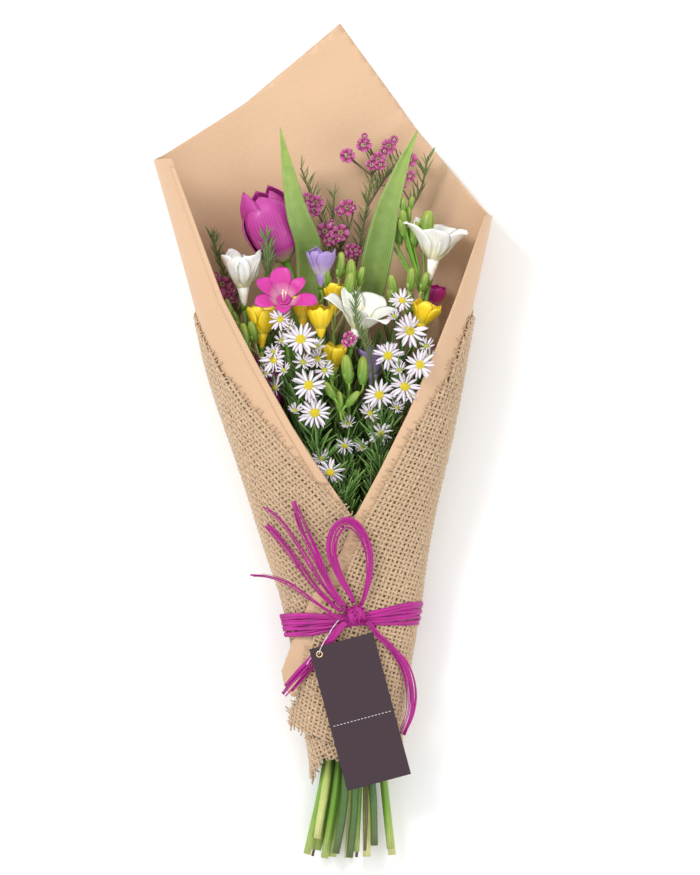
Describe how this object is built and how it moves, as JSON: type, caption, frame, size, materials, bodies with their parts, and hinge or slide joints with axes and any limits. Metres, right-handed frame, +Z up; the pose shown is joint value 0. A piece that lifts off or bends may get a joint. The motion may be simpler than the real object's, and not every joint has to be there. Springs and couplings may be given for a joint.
{
  "type": "flower bouquet",
  "caption": "Hand-tied spring bouquet of tulips, freesias, asters and waxflower, rolled in a kraft paper cone and a burlap wrap, tied with raffia and hung with a plain tag.",
  "frame": {"origin": "under the middle of the bouquet's bounding box without its free raffia and thread, on the surface that it lies on", "axes": "+X to the bouquet's right seen from above with the flowers up the page, +Y from the cut stem ends to the paper's peak, +Z up from the surface that it lies on"},
  "size_m": [0.2528, 0.6301, 0.1012],
  "materials": {
    "kraft": "brown kraft paper with fine laid lines, satin",
    "jute": "open plain weave of jute yarn",
    "raffia": "dyed magenta raffia ribbon, satin",
    "card": "dark plum card, matte",
    "thread": "pale thread",
    "twine": "green florist's twine",
    "magenta_petal": "magenta tulip petal, satin",
    "pink_petal": "bright pink freesia petal",
    "white_petal": "white freesia petal",
    "lilac_petal": "lilac freesia petal",
    "yellow_petal": "yellow freesia petal",
    "pale_ray": "pale mauve aster rays and yellow disc",
    "tulip_leaf": "grey-green tulip leaf",
    "bright_stem": "fresh green stem",
    "light_stem": "pale yellow-green stem",
    "dark_stem": "dark green leafy stem",
    "woody_sprig": "brown-green woody sprig with needles"
  },
  "bodies": {
    "root": {"aster_bloom_1": "pale_ray", "aster_bloom_10": "pale_ray", "aster_bloom_11": "pale_ray", "aster_bloom_12": "pale_ray", "aster_bloom_2": "pale_ray", "aster_bloom_3": "pale_ray", "aster_bloom_4": "pale_ray", "aster_bloom_5": "pale_ray", "aster_bloom_6": "pale_ray", "aster_bloom_7": "pale_ray", "aster_bloom_8": "pale_ray", "aster_bloom_9": "pale_ray", "aster_spray_1": "dark_stem", "aster_spray_2": "dark_stem", "aster_spray_3": "dark_stem", "burlap_wrap": "jute", "freesia_lilac": "lilac_petal", "freesia_magenta_1": "pink_petal", "freesia_magenta_2": "pink_petal", "freesia_purple": "lilac_petal", "freesia_spike_1": "bright_stem", "freesia_spike_2": "light_stem", "freesia_spike_3": "bright_stem", "freesia_spike_4": "light_stem", "freesia_spike_5": "bright_stem", "freesia_spike_6": "light_stem", "freesia_spike_7": "bright_stem", "freesia_spike_8": "light_stem", "freesia_white_1": "white_petal", "freesia_white_2": "white_petal", "freesia_white_3": "white_petal", "freesia_yellow_1": "yellow_petal", "freesia_yellow_2": "yellow_petal", "freesia_yellow_3": "yellow_petal", "freesia_yellow_4": "yellow_petal", "freesia_yellow_5": "yellow_petal", "freesia_yellow_6": "yellow_petal", "kraft_paper": "kraft", "raffia_band": "raffia", "raffia_loop": "raffia", "raffia_tail_1": "raffia", "raffia_tail_2": "raffia", "raffia_tail_3": "raffia", "raffia_tail_4": "raffia", "raffia_tail_5": "raffia", "raffia_tail_6": "raffia", "stem_binding": "twine", "tag_card": "card", "tag_thread": "thread", "tulip_bloom_1": "magenta_petal", "tulip_bloom_2": "magenta_petal", "tulip_leaf_1": "tulip_leaf", "tulip_leaf_2": "tulip_leaf", "tulip_stem_1": "bright_stem", "tulip_stem_2": "bright_stem", "waxflower_spray_1": "woody_sprig", "waxflower_spray_2": "woody_sprig", "waxflower_spray_3": "woody_sprig", "waxflower_spray_4": "woody_sprig", "waxflower_spray_5": "woody_sprig"}
  },
  "joints": []
}
